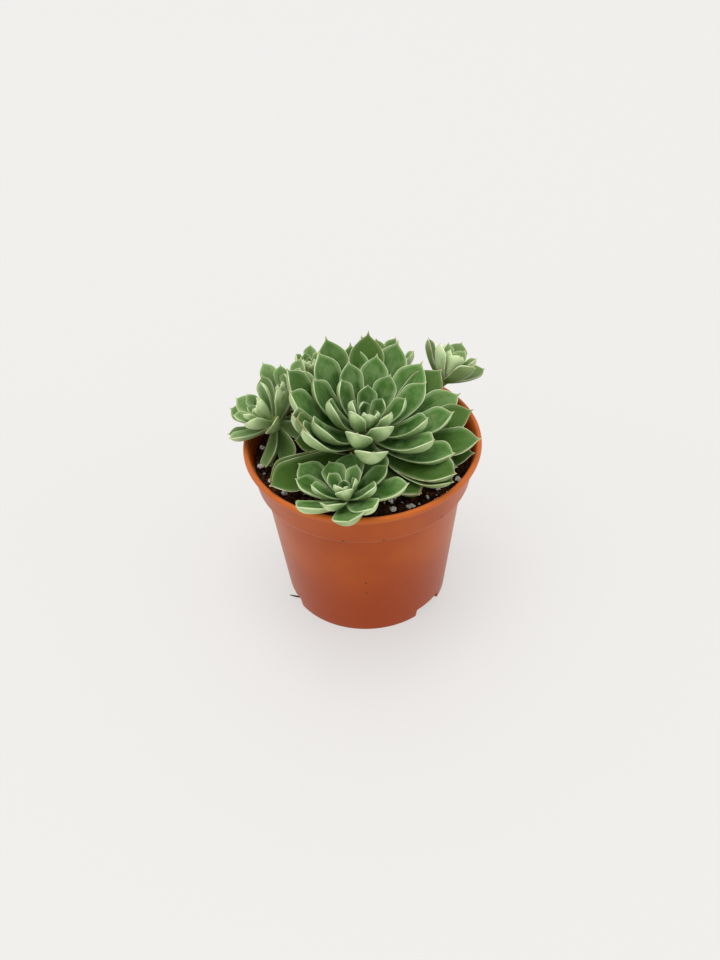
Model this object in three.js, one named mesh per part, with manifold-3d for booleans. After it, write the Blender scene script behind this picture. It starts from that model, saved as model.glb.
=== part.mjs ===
// A potted scorpio echeveria: a large rosette with a front offset and smaller
// offsets round it, rooted in dark soil in a round terracotta-coloured plastic pot.
// Millimetres, +Z up, standing on the pot's base ring. The photograph looks along +Y.

import * as THREE from 'three';
import { mergeVertices } from 'three/addons/utils/BufferGeometryUtils.js';
import Module from 'manifold-3d';

const wasm = await Module();
wasm.setup();

// Pot: radii are those of the outer face
const potHeight = 93.9;
const baseRadius = 40.7;
const shoulderRadius = 50.4;
const shoulderHeight = 71;
const collarLowRadius = 54.3;
const collarLowHeight = 74;
const collarTopRadius = 56.8;
const collarTopHeight = 90.4;
const rimRadius = 60;
const rimInnerRadius = 57.1;
const wall = 1.3;
const footWidth = 1.8;
const floorUnderside = 5.6;
const roundSegments = 48;

// Notches in the base ring and drain holes in the floor
const notchAngles = [-71, 49, 169];
const notchSpan = 26;
const notchHeight = 4.8;
const drainHoles = 8;
const drainRadius = 3.5;
const drainCircle = 29;

// Soil
const touchGap = 0.3;
const soilLevel = 84.5;
const soilMound = 0.5;
const soilRings = 6;
const pegDepth = 9;

// Leaf shape, as fractions of its length, half width or thickness
const leafForm = {
  baseWidth: 0.42, widest: 0.72, body: 0.84, tipWidth: 0.09, shoulder: 2.3,
  above: 0.22, below: 0.78, thickRatio: 0.26,
};
const leafStations = [0, 0.36, 0.7, 0.88];

// Room kept between one rosette's leaves and what belongs to another
const leafGap = 0.9;
const stemGap = 1;
const soilGap = 1.4;
const rimGap = 0.7;

// Rosettes, those that keep their leaves' places first. pitch, length and width run
// through three values from the youngest leaf to the oldest full-grown one, core,
// curl and cup through two. lean is the axis's tilt in degrees towards +X and +Y, turn
// is the step of the leaf spiral, and root is where the stem enters the soil. sway
// tilts the grown leaves more to one side, twist rolls those at the sides towards the
// light in front, and leaves past the mature ones rest at their own slope from the
// level, with their own length.
const rosettes = [
  {
    name: 'rosette_front', centre: [-9.2, -47.3, 99.1], lean: [-9, 7.3], root: [-7, -39],
    stemRadius: 3, seed: 21, phase: 303.8, turn: 138.41, count: 20, jitter: 1,
    pitch: [88.8, 5, 20.6], length: [5.3, 24.9, 33.4], width: [4.5, 14, 15.5],
    sway: [-12, -1.3], drop: 3, core: [0.5, 3], curl: [0.9, 0.3], cup: [0.4, 0.18],
  },
  {
    name: 'offset_left', centre: [-48.5, 8, 105.5], lean: [-42, 0], root: [-42, 11],
    stemRadius: 2.4, seed: 41, phase: 200, turn: -137.5, count: 24, mature: 18, jitter: 2,
    pitch: [88, 60, 20], length: [6, 22, 28], width: [3, 10, 11.5], rest: [-10, 27],
    drop: 8, core: [0.4, 2.2], curl: [0.7, 0.5], cup: [0.45, 0.3],
  },
  {
    name: 'offset_left_tall', centre: [-39, 22, 107], lean: [-12, 2], root: [-36, 25],
    stemRadius: 2.6, seed: 52, phase: 60, turn: 137.5, count: 16, jitter: 3,
    pitch: [88, 74, 44], length: [6, 22, 28], width: [3, 9.5, 11],
    drop: 9, core: [0.4, 2.4], curl: [0.6, 0.6], cup: [0.45, 0.3],
  },
  {
    name: 'rosette_main', centre: [2.9, -6.6, 109.8], lean: [9.9, 3.9], root: [2, -3],
    stemRadius: 8, seed: 5, phase: 213.4, turn: 137.55, count: 58, mature: 44, jitter: 1,
    pitch: [78, 9.8, 42.5], length: [6.8, 55.9, 50.4], width: [6, 20, 17],
    rest: [2, 45], sway: [-14.6, 14.8], twist: 29, drop: 13.5, core: [0.5, 11],
    curl: [1.3, 0.6], cup: [0.45, 0.3],
  },
  {
    name: 'offset_right', centre: [45.5, 31, 111.6], lean: [26, 14], root: [26, 34],
    stemRadius: 2.2, seed: 33, phase: 144, turn: -137.5, count: 16, mature: 14, jitter: 2,
    pitch: [88, 76, 46], length: [6, 18, 22], width: [3, 9.5, 11], rest: [0, 22],
    drop: 6, core: [0.4, 2], curl: [0.6, 0.5], cup: [0.5, 0.35],
  },
  {
    name: 'offset_back_left', centre: [-26, 42, 107], lean: [0, 0], root: [-24, 40],
    stemRadius: 2, seed: 63, phase: 10, turn: 137.5, count: 14, jitter: 3,
    pitch: [88, 78, 58], length: [5, 14, 18], width: [2.5, 6, 7.5],
    drop: 6, core: [0.4, 1.8], curl: [0.5, 0.5], cup: [0.4, 0.3],
  },
  {
    name: 'offset_back', centre: [11, 51, 97.5], lean: [3, 5], root: [11, 44],
    stemRadius: 2.6, seed: 77, phase: 40, turn: -137.5, count: 20, jitter: 3,
    pitch: [88, 74, 50], length: [6, 24, 30], width: [3, 11, 12],
    drop: 8, core: [0.4, 2.8], curl: [0.6, 0.5], cup: [0.45, 0.3],
  },
];
const leafColour = 0x6f9468;

// A repeatable draw between -1 and 1
function draw(seed, place) {
  const value = Math.sin(seed * 12.9898 + place * 78.233) * 43758.5453;
  return 2 * (value - Math.floor(value)) - 1;
}

function mix(pair, t) {
  return pair[0] + (pair[1] - pair[0]) * t;
}

function clamp(value, low, high) {
  return Math.min(high, Math.max(low, value));
}

const vector = (values) => new THREE.Vector3(...values);
const radians = THREE.MathUtils.degToRad;

// Height of the soil's crumbly surface: a low mound with ripples
function soilHeight(x, y) {
  const reach = collarTopRadius - wall;
  const mound = soilMound * (1 - (x * x + y * y) / (reach * reach));
  const ripples = 0.5 * Math.sin(0.45 * x + 1.3) * Math.cos(0.5 * y) + 0.4 * Math.sin(0.7 * x - 0.6 * y + 2);
  return soilLevel + mound + ripples;
}

// Half width of a leaf over its widest: narrow base, broad shoulders, short flicked tip
function halfWidth(s) {
  const { baseWidth, widest, body, tipWidth, shoulder } = leafForm;
  if (s < widest) {
    const rise = Math.sin((Math.PI / 2) * Math.max(s, 0) / widest) ** 1.3;
    return baseWidth + (1 - baseWidth) * rise;
  }
  const u = (s - widest) / (1 - widest);
  const blade = Math.max(0, 1 - (u / body) ** shoulder);
  const tip = tipWidth * clamp((1 - u) / (1 - body), 0, 1);
  return Math.sqrt(blade * blade * (1 - tipWidth * tipWidth) + tip * tip);
}

// Thickness of a leaf over its thickest
function fullness(s) {
  const { widest } = leafForm;
  if (s < widest) return 0.62 + 0.38 * Math.sin((Math.PI / 2) * Math.max(s, 0) / widest);
  return Math.max(0.03, halfWidth(s) ** 0.75);
}

// Heights of a leaf's upper and lower face over its mid arc, at s along and v across
function faceHeights(leaf, s, v) {
  const middle = leaf.cup * (leaf.width / 2) * halfWidth(s) * v * v;
  const thick = leaf.thick * fullness(s);
  const side = Math.min(1, Math.abs(v));
  return {
    upper: middle + leafForm.above * thick * (1 - side ** 2.4) ** 0.6,
    lower: middle - leafForm.below * thick * (1 - side ** 2) ** 0.8,
  };
}

// The mid line is a circle's arc of the leaf's length that turns up by curl
function leafPoint(leaf, s, v, face) {
  const { length, curl } = leaf;
  const angle = curl * (s - 0.5);
  const reach = (length / curl) * (Math.sin(angle) + Math.sin(curl / 2));
  const sag = (length / curl) * (Math.cos(curl / 2) - Math.cos(angle));
  const height = faceHeights(leaf, s, v)[face];
  return leaf.base.clone()
    .addScaledVector(leaf.along, reach - height * Math.sin(angle))
    .addScaledVector(leaf.across, v * (leaf.width / 2) * halfWidth(s))
    .addScaledVector(leaf.up, sag + height * Math.cos(angle));
}

function isInLeaf(leaf, point, gap) {
  const { length, curl } = leaf;
  const offset = point.clone().sub(leaf.base);
  if (offset.length() > length + 4 * gap) return false;
  const radius = length / curl;
  const x = offset.dot(leaf.along) - radius * Math.sin(curl / 2);
  const z = radius * Math.cos(curl / 2) - offset.dot(leaf.up);
  const s = Math.atan2(x, z) / curl + 0.5;
  if (s < 0 || s > 1 + gap / length) return false;
  const half = (leaf.width / 2) * halfWidth(Math.min(s, 1));
  const y = offset.dot(leaf.across);
  if (Math.abs(y) > half + gap) return false;
  const height = radius - Math.hypot(x, z);
  const { upper, lower } = faceHeights(leaf, Math.min(s, 1), clamp(y / half, -1, 1));
  return height > lower - gap && height < upper + gap;
}

// The rosette's axis and two directions square to it
function headFrame(head) {
  const lean = head.lean.map((angle) => Math.sin(radians(angle)));
  const axis = vector([lean[0], lean[1], Math.sqrt(1 - lean[0] ** 2 - lean[1] ** 2)]);
  const east = vector([0, 1, 0]).cross(axis).normalize();
  return { axis, east, north: axis.clone().cross(east) };
}

// A quadratic curve from the young value, past the middle one, to the old one
function grown([young, middle, old], t) {
  return young * (1 - t) ** 2 + 2 * middle * t * (1 - t) + old * t * t;
}

// One leaf of a rosette's spiral, lifted, turned or shortened by a bend
function spiralLeaf(head, index, bend) {
  const { mature = head.count, rest = [0, 0], sway = [0, 0], twist = 0 } = head;
  const t = Math.min(1, (index + 0.5) / mature);
  const vary = (place, amount) => amount * draw(head.seed, index * 7 + place);
  const azimuth = radians(head.phase + head.turn * index + vary(2, head.jitter) + bend.turn);
  const { axis, east, north } = headFrame(head);
  const outward = east.multiplyScalar(Math.cos(azimuth)).addScaledVector(north, Math.sin(azimuth));
  const swayed = t * (sway[0] * Math.cos(azimuth) + sway[1] * Math.sin(azimuth));
  const [slope, reach] = index < mature
    ? [grown(head.pitch, t) + swayed, grown(head.length, t)]
    : [rest[0] - Math.asin(outward.z) * 180 / Math.PI, rest[1]];
  const pitch = radians(slope + vary(1, head.jitter) + bend.lift);
  const roll = radians(vary(5, 3 + head.jitter) + twist * t * Math.cos(azimuth));
  const length = reach * (1 + vary(3, 0.04)) * bend.size;
  const width = grown(head.width, t) * (1 + vary(4, 0.05)) * Math.sqrt(bend.size);

  const along = outward.clone().multiplyScalar(Math.cos(pitch)).addScaledVector(axis, Math.sin(pitch));
  const flatUp = axis.clone().multiplyScalar(Math.cos(pitch)).addScaledVector(outward, -Math.sin(pitch));
  const flatAcross = flatUp.clone().cross(along);
  const across = flatAcross.clone().multiplyScalar(Math.cos(roll)).addScaledVector(flatUp, Math.sin(roll));
  const up = flatUp.multiplyScalar(Math.cos(roll)).addScaledVector(flatAcross, -Math.sin(roll));
  const base = vector(head.centre)
    .addScaledVector(axis, -head.drop * t)
    .addScaledVector(outward, mix(head.core, t));
  return {
    base, along, across, up, length, width,
    thick: leafForm.thickRatio * width, curl: mix(head.curl, t), cup: mix(head.cup, t),
  };
}

// The stem's course: straight up out of the soil, then to the rosette's core
function stemCourse(head) {
  const { axis } = headFrame(head);
  const centre = vector(head.centre);
  const [x, y] = head.root;
  const ground = soilHeight(x, y);
  const coreEnd = centre.clone().addScaledVector(axis, 1 - head.drop);
  return [
    { at: vector([x, y, ground - pegDepth]), radius: head.stemRadius },
    { at: vector([x, y, ground + 1]), radius: head.stemRadius },
    { at: coreEnd, radius: Math.max(head.stemRadius, head.core[1] + 0.8) },
    { at: centre, radius: head.core[0] + 1.2 },
  ];
}

function distanceToCourse(course, point) {
  let nearest = Infinity;
  for (let i = 1; i < course.length; i += 1) {
    const line = new THREE.Line3(course[i - 1].at, course[i].at);
    const foot = line.closestPointToPoint(point, true, new THREE.Vector3());
    nearest = Math.min(nearest, foot.distanceTo(point) - Math.max(course[i - 1].radius, course[i].radius));
  }
  return nearest;
}

// Points over both faces of a leaf that are tested against its neighbours
const testStations = [0.2, 0.34, 0.48, 0.6, 0.7, 0.8, 0.88, 0.95, 1];
function testPoints(leaf) {
  return testStations.flatMap((s) => [
    ...[-1, -0.5, 0, 0.5, 1].map((v) => leafPoint(leaf, s, v, 'upper')),
    ...[-0.5, 0, 0.5].map((v) => leafPoint(leaf, s, v, 'lower')),
  ]);
}

function clearsPot(point) {
  const radius = Math.hypot(point.x, point.y);
  if (radius > rimRadius + 1.5) return point.z > potHeight - 2 * (radius - rimRadius);
  if (radius > collarTopRadius - wall - 1) return point.z > potHeight + rimGap;
  return point.z > soilHeight(point.x, point.y) + soilGap;
}

// The ways a leaf may give way, the slightest first
const bends = [0, 6, 12, 18, -6, -12]
  .flatMap((lift) => [0, 6, -6, 12, -12, 20, -20].flatMap((turn) => [1, 0.85, 0.7, 0.55].map((size) => (
    { lift, turn, size, effort: 2 * Math.abs(lift) + 0.8 * Math.abs(turn) + 50 * (1 - size) }))))
  .sort((one, other) => one.effort - other.effort);

// Each leaf takes the slightest bend that clears the pot, the soil, the other
// rosettes' stems and the leaves that stand already; where none does, it is left out
function placeLeaves() {
  const courses = rosettes.map(stemCourse);
  const standing = rosettes.map(() => []);
  rosettes.forEach((head, order) => {
    const others = () => standing.flatMap((leaves, k) => (k === order ? [] : leaves));
    for (let index = 0; index < head.count; index += 1) {
      const neighbours = others();
      const isClear = (leaf) => {
        const points = testPoints(leaf);
        if (!points.every(clearsPot)) return false;
        if (!courses.every((course, k) => k === order
          || points.every((point) => distanceToCourse(course, point) > stemGap))) return false;
        const reach = leaf.base.clone().addScaledVector(leaf.along, leaf.length / 2);
        return neighbours.every((other) => {
          if (other.middle.distanceTo(reach) > (other.leaf.length + leaf.length) / 2 + 12) return true;
          return !points.some((point) => isInLeaf(other.leaf, point, leafGap))
            && !other.points.some((point) => isInLeaf(leaf, point, leafGap));
        });
      };
      const leaf = bends.map((bend) => () => spiralLeaf(head, index, bend))
        .reduce((found, make) => found ?? ((made) => (isClear(made) ? made : null))(make()), null);
      if (leaf) {
        const middle = leaf.base.clone().addScaledVector(leaf.along, leaf.length / 2);
        standing[order].push({ leaf, middle, points: testPoints(leaf) });
      }
    }
  });
  return standing.map((leaves) => leaves.map(({ leaf }) => leaf));
}

// A closed solid from points and triangles, turned right side out
function solidFrom(points, triangles) {
  let volume = 0;
  for (const [a, b, c] of triangles) {
    volume += points[a].dot(points[b].clone().cross(points[c]));
  }
  const order = volume < 0 ? triangles.map(([a, b, c]) => [a, c, b]) : triangles;
  return new wasm.Manifold(new wasm.Mesh({
    numProp: 3,
    vertProperties: new Float32Array(points.flatMap((point) => point.toArray())),
    triVerts: new Uint32Array(order.flat()),
  }));
}

// The same from a three.js geometry, with its seams welded
function solidOf(geometry) {
  geometry.deleteAttribute('normal');
  geometry.deleteAttribute('uv');
  const welded = mergeVertices(geometry, 1e-4);
  const positions = welded.getAttribute('position');
  const points = [];
  for (let i = 0; i < positions.count; i += 1) points.push(vector([0, 0, 0]).fromBufferAttribute(positions, i));
  const triangles = [];
  for (let i = 0; i < welded.index.count; i += 3) {
    const corners = [0, 1, 2].map((k) => welded.index.getX(i + k));
    if (new Set(corners).size === 3) triangles.push(corners);
  }
  return solidFrom(points, triangles);
}

// Triangles of a solid's largest body, so that any hollow sealed inside is filled
function largestBody(solid) {
  const mesh = solid.getMesh();
  const { numProp, triVerts } = mesh;
  const at = (i) => vector(mesh.vertProperties.subarray(i * numProp, i * numProp + 3));
  const root = Array.from({ length: mesh.vertProperties.length / numProp }, (_, i) => i);
  const find = (i) => {
    let top = i;
    while (root[top] !== top) top = root[top];
    root[i] = top;
    return top;
  };
  for (let i = 0; i < triVerts.length; i += 3) {
    root[find(triVerts[i + 1])] = find(triVerts[i]);
    root[find(triVerts[i + 2])] = find(triVerts[i]);
  }
  const volumes = new Map();
  for (let i = 0; i < triVerts.length; i += 3) {
    const [a, b, c] = [0, 1, 2].map((k) => at(triVerts[i + k]));
    const body = find(triVerts[i]);
    volumes.set(body, (volumes.get(body) ?? 0) + a.dot(b.cross(c)));
  }
  const largest = [...volumes].sort((one, other) => other[1] - one[1])[0][0];
  const kept = [];
  for (let i = 0; i < triVerts.length; i += 3) {
    if (find(triVerts[i]) === largest) kept.push(...triVerts.subarray(i, i + 3));
  }
  const geometry = new THREE.BufferGeometry();
  geometry.setAttribute('position', new THREE.BufferAttribute(mesh.vertProperties, numProp));
  geometry.setIndex(kept);
  return geometry;
}

// Rings of points joined into a closed skin, with a flat or pointed end at each side
function skinRings(rings) {
  const points = rings.flat();
  const sides = rings[0].length;
  const triangles = [];
  for (let ring = 0; ring + 1 < rings.length; ring += 1) {
    const start = ring * sides;
    if (rings[ring + 1].length === 1) {
      const tip = start + sides;
      for (let k = 0; k < sides; k += 1) triangles.push([start + k, start + (k + 1) % sides, tip]);
    } else {
      for (let k = 0; k < sides; k += 1) {
        const next = (k + 1) % sides;
        triangles.push([start + k, start + next, start + sides + next]);
        triangles.push([start + k, start + sides + next, start + sides + k]);
      }
    }
  }
  for (let k = 1; k + 1 < sides; k += 1) triangles.push([0, k + 1, k]);
  const last = rings[rings.length - 1];
  if (last.length > 1) {
    const start = points.length - sides;
    for (let k = 1; k + 1 < sides; k += 1) triangles.push([start, start + k, start + k + 1]);
  }
  return solidFrom(points, triangles);
}

function leafSolid(leaf) {
  const rings = leafStations.map((s) => [
    leafPoint(leaf, s, -1, 'upper'), leafPoint(leaf, s, 0, 'upper'),
    leafPoint(leaf, s, 1, 'upper'), leafPoint(leaf, s, 0, 'lower'),
  ]);
  return skinRings([...rings, [leafPoint(leaf, 1, 0, 'upper')]]);
}

function stemSolid(course) {
  const sides = 8;
  const rings = course.map(({ at, radius }, i) => {
    const before = course[Math.max(i - 1, 0)].at;
    const after = course[Math.min(i + 1, course.length - 1)].at;
    const along = i === 1 ? vector([0, 0, 1]) : after.clone().sub(before).normalize();
    const east = vector([0, 1, 0]).cross(along).normalize();
    const north = along.clone().cross(east);
    return Array.from({ length: sides }, (_, k) => {
      const angle = (2 * Math.PI * k) / sides;
      return at.clone().addScaledVector(east, radius * Math.cos(angle)).addScaledVector(north, radius * Math.sin(angle));
    });
  });
  return skinRings(rings);
}

function rosetteGeometry(course, leaves) {
  let solid = stemSolid(course);
  for (const leaf of leaves) solid = solid.add(leafSolid(leaf));
  return largestBody(solid);
}

function turned(profile) {
  const lathe = new THREE.LatheGeometry(profile.map(([r, z]) => new THREE.Vector2(r, z)), roundSegments);
  return lathe.rotateX(Math.PI / 2);
}

function potGeometry() {
  const inside = (radius) => radius - wall;
  const floorTop = floorUnderside + wall;
  const profile = [
    [0, floorUnderside],
    [baseRadius - footWidth, floorUnderside],
    [baseRadius - footWidth, 0],
    [baseRadius, 0],
    [shoulderRadius, shoulderHeight],
    [collarLowRadius, collarLowHeight],
    [collarTopRadius, collarTopHeight],
    [rimRadius - 0.6, collarTopHeight + 0.5],
    [rimRadius, collarTopHeight + 1.4],
    [rimRadius - 0.5, potHeight - 0.3],
    [rimRadius - 1.2, potHeight],
    [rimInnerRadius + 0.5, potHeight],
    [rimInnerRadius, potHeight - 0.7],
    [inside(collarTopRadius), collarTopHeight - 1],
    [inside(collarLowRadius), collarLowHeight],
    [inside(shoulderRadius), shoulderHeight],
    [inside(baseRadius) + 0.8, floorTop],
    [0, floorTop],
  ];
  let solid = solidOf(turned(profile));
  for (const angle of notchAngles) {
    const [start, end] = [angle - notchSpan / 2, angle + notchSpan / 2].map((edge) => radians(edge - 90));
    const sector = new THREE.Shape().absarc(0, 0, baseRadius + 4, start, end, false).absarc(0, 0, baseRadius - 6, end, start, true);
    const notch = new THREE.ExtrudeGeometry(sector, { depth: notchHeight + 2, bevelEnabled: false, curveSegments: 6 });
    solid = solid.subtract(solidOf(notch.translate(0, 0, -2)));
  }
  for (let k = 0; k < drainHoles; k += 1) {
    const angle = (2 * Math.PI * k) / drainHoles;
    const hole = new THREE.CylinderGeometry(drainRadius, drainRadius, 4 * wall, 12).rotateX(Math.PI / 2);
    hole.translate(drainCircle * Math.cos(angle), drainCircle * Math.sin(angle), floorUnderside + wall / 2);
    solid = solid.subtract(solidOf(hole));
  }
  return largestBody(solid);
}

function soilGeometry(courses) {
  const gapped = (radius) => radius - wall - touchGap;
  const shoulder = gapped(shoulderRadius);
  const floorTop = floorUnderside + wall + touchGap;
  const rim = collarLowRadius + (collarTopRadius - collarLowRadius)
    * (soilLevel - collarLowHeight) / (collarTopHeight - collarLowHeight);
  const profile = [
    [0, floorTop],
    [gapped(baseRadius) + 0.8, floorTop],
    [shoulder, shoulderHeight + 0.2],
    [gapped(collarLowRadius) - 0.1, collarLowHeight + 0.2],
    [gapped(rim) - 0.1, soilLevel - 1.2],
  ];
  for (let ring = 0; ring <= soilRings; ring += 1) {
    profile.push([(gapped(rim) - 0.5) * (1 - ring / soilRings), soilLevel]);
  }
  const geometry = turned(profile);
  const positions = geometry.getAttribute('position');
  for (let i = 0; i < positions.count; i += 1) {
    if (positions.getZ(i) > soilLevel - 0.1) {
      positions.setZ(i, soilHeight(positions.getX(i), positions.getY(i)));
    }
  }
  let solid = solidOf(geometry);
  for (const [peg] of courses) {
    const radius = peg.radius + 1.6 * touchGap;
    const hole = new THREE.CylinderGeometry(radius, radius, 4 * pegDepth, 16).rotateX(Math.PI / 2);
    hole.translate(peg.at.x, peg.at.y, peg.at.z - touchGap + 2 * pegDepth);
    solid = solid.subtract(solidOf(hole));
  }
  return largestBody(solid);
}

function named(name, geometry, colour, roughness) {
  const material = new THREE.MeshStandardMaterial({ color: colour, roughness, metalness: 0, flatShading: true });
  const mesh = new THREE.Mesh(geometry, material);
  mesh.name = name;
  return mesh;
}

const courses = rosettes.map(stemCourse);
const plant = new THREE.Group();
plant.add(named('pot', potGeometry(), 0xb4562f, 0.45));
plant.add(named('soil', soilGeometry(courses), 0x3b2b22, 0.95));
placeLeaves().forEach((leaves, k) => {
  plant.add(named(rosettes[k].name, rosetteGeometry(courses[k], leaves), leafColour, 0.6));
});

// The origin is under the middle of the whole plant's box, on the surface it stands on
const extent = new THREE.Box3().setFromObject(plant);
plant.position.set(-(extent.min.x + extent.max.x) / 2, -(extent.min.y + extent.max.y) / 2, -extent.min.z);

const pottedEcheveria = new THREE.Group();
pottedEcheveria.add(plant);
export default pottedEcheveria;
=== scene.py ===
# A potted scorpio echeveria: one large rosette with smaller ones round it, in dark
# peat with perlite grains, in a round terracotta-coloured plastic nursery pot.
# Dictionaries hold millimetres and degrees with the pot's axis at x = y = 0, and
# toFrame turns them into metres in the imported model's frame. The camera looks along +Y.
import math

import bpy
import numpy as np
from mathutils import Matrix, Vector


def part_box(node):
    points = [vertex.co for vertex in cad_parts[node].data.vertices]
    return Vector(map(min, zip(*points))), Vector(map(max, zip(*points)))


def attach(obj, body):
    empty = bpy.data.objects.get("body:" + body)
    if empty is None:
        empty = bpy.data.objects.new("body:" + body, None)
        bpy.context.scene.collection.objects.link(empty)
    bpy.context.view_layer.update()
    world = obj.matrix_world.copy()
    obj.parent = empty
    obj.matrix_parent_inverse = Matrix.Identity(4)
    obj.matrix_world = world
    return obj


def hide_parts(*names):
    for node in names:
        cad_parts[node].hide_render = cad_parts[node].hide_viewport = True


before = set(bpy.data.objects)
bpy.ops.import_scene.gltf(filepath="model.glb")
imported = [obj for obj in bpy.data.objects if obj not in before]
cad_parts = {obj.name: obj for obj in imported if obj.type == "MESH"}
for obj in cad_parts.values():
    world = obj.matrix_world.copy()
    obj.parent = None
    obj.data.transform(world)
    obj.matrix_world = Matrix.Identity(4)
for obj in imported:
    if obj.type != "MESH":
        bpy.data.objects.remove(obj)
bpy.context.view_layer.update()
potLow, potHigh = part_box("pot")
potAxis = np.array([(potLow.x + potHigh.x) / 2, (potLow.y + potHigh.y) / 2, potLow.z])
rimRadius = 500 * (potHigh.x - potLow.x)
potHeight = 1000 * (potHigh.z - potLow.z)
print("frame loaded:", len(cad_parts), "solids, rim radius", round(rimRadius, 1), "mm")


def toFrame(points):
    # Millimetres from the pot's foot to metres in the frame
    return np.asarray(points, float) * 0.001 + potAxis


def draw(seed, place):
    # A repeatable number between -1 and 1: the fraction of a large sine
    value = math.sin(seed * 12.9898 + place * 78.233) * 43758.5453
    return 2 * (value - math.floor(value)) - 1


def mix(pair, share):
    return pair[0] + (pair[1] - pair[0]) * share


def smoothStep(value, low, high):
    # 0 below low, 1 above high and a cubic between them
    share = np.clip((value - low) / (high - low), 0, 1)
    return share * share * (3 - 2 * share)


def valueNoise(x, y, scale, seed):
    # Random heights on a square lattice of that scale, blended by cubics between them
    column, row = np.floor(x / scale), np.floor(y / scale)
    shareX = smoothStep(x / scale - column, 0, 1)
    shareY = smoothStep(y / scale - row, 0, 1)

    def corner(stepX, stepY):
        value = np.sin((column + stepX) * 127.1 + (row + stepY) * 311.7 + seed * 74.7) * 43758.5453
        return 2 * (value - np.floor(value)) - 1

    low = corner(0, 0) * (1 - shareX) + corner(1, 0) * shareX
    high = corner(0, 1) * (1 - shareX) + corner(1, 1) * shareX
    return low * (1 - shareY) + high * shareY


def gridFaces(rows, columns, start=0, closed=True):
    # Quads between neighbouring rows, whose last column joins the first where closed
    across = columns if closed else columns - 1
    row, column = np.meshgrid(np.arange(rows - 1), np.arange(across), indexing="ij")
    after = (column + 1) % columns
    quads = np.stack([row * columns + column, row * columns + after,
                      (row + 1) * columns + after, (row + 1) * columns + column], -1)
    return quads.reshape(-1, 4) + start


def fanFaces(ring, centre, flip):
    # Triangles from a ring's neighbouring points to one centre point
    after = np.roll(ring, -1)
    corners = [after, ring] if flip else [ring, after]
    return np.stack(corners + [np.full(len(ring), centre)], -1)


def makePiece(name, points, quads, triangles=(), facts=None, smooth=True):
    # A mesh object from points in millimetres, its faces, and its points' named facts
    mesh = bpy.data.meshes.new(name)
    faces = np.asarray(quads, int).tolist() + np.asarray(triangles, int).tolist()
    mesh.from_pydata(toFrame(points).tolist(), [], faces)
    for fact, values in (facts or {}).items():
        attribute = mesh.attributes.new(fact, "FLOAT", "POINT")
        attribute.data.foreach_set("value", np.asarray(values, np.float32).ravel())
    mesh.polygons.foreach_set("use_smooth", np.full(len(mesh.polygons), smooth))
    mesh.validate()
    piece = bpy.data.objects.new(name, mesh)
    bpy.context.scene.collection.objects.link(piece)
    return piece


def settle(piece, slotName, material, *nodes):
    # What every finished piece gets: material, body and the solids it stands for
    piece.data.materials.clear()
    piece.data.materials.append(material)
    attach(piece, "root")
    if nodes:
        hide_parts(*nodes)
    print(piece.name, "made of", len(piece.data.polygons), "faces")
    return piece


def paint(red, green, blue):
    # A screen colour, 0 to 255, as the linear values that a shader takes
    share = np.array([red, green, blue]) / 255
    linear = np.where(share <= 0.04045, share / 12.92, ((share + 0.055) / 1.055) ** 2.4)
    return (*linear.tolist(), 1.0)


class Wire:
    # A socket in a material's node tree: sums and products of wires add Math nodes
    def __init__(self, tree, socket=None):
        self.tree, self.socket = tree, socket

    def node(self, kind, settings=None, inputs=None, output=0):
        # Any node, from its type, its settings, and its sockets' values or wires
        made = self.tree.nodes.new(kind)
        for key, value in (settings or {}).items():
            if key == "stops":
                for place, colour in value:
                    stop = made.color_ramp.elements.new(place)
                    stop.color = colour
                made.color_ramp.elements.remove(made.color_ramp.elements[0])
                made.color_ramp.elements.remove(made.color_ramp.elements[-1])
            else:
                setattr(made, key, value)
        for key, value in (inputs or {}).items():
            if isinstance(value, Wire):
                self.tree.links.new(value.socket, made.inputs[key])
            else:
                made.inputs[key].default_value = value
        return Wire(self.tree, made.outputs[output])

    def maths(self, operation, first, second):
        return self.node("ShaderNodeMath", {"operation": operation}, {0: first, 1: second})

    def __add__(self, other):
        return self.maths("ADD", self, other)

    def __radd__(self, other):
        return self.maths("ADD", other, self)

    def __sub__(self, other):
        return self.maths("SUBTRACT", self, other)

    def __rsub__(self, other):
        return self.maths("SUBTRACT", other, self)

    def __mul__(self, other):
        return self.maths("MULTIPLY", self, other)

    def __rmul__(self, other):
        return self.maths("MULTIPLY", other, self)

    def fact(self, name):
        # One of the facts that makePiece stored on the points
        return self.node("ShaderNodeAttribute", {"attribute_name": name}, output="Fac")

    def place(self, scale=(1, 1, 1)):
        # Object coordinates centred on the pot's axis, in metres times the scale
        where = self.node("ShaderNodeTexCoord", output="Object")
        shift = tuple(-factor * centre for factor, centre in zip(scale, potAxis))
        return self.node("ShaderNodeMapping", {"vector_type": "POINT"},
                         {"Vector": where, "Location": shift, "Scale": scale})

    def noise(self, where, scale, detail=2, roughness=0.5):
        return self.node("ShaderNodeTexNoise", {}, {
            "Vector": where, "Scale": scale, "Detail": detail, "Roughness": roughness})

    def step(self, value, low, high, bottom=0, top=1):
        # A smooth step from bottom to top while the value goes from low to high
        return self.node("ShaderNodeMapRange", {"interpolation_type": "SMOOTHSTEP"}, {
            0: value, 1: low, 2: high, 3: bottom, 4: top})

    def blend(self, share, first, second, kind="MIX"):
        # Two colours mixed by a share
        return self.node("ShaderNodeMix", {"data_type": "RGBA", "blend_type": kind},
                         {0: share, 6: first, 7: second}, output=2)

    def bump(self, height, strength, distance):
        return self.node("ShaderNodeBump", {}, {
            "Height": height, "Strength": strength, "Distance": distance})


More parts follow.
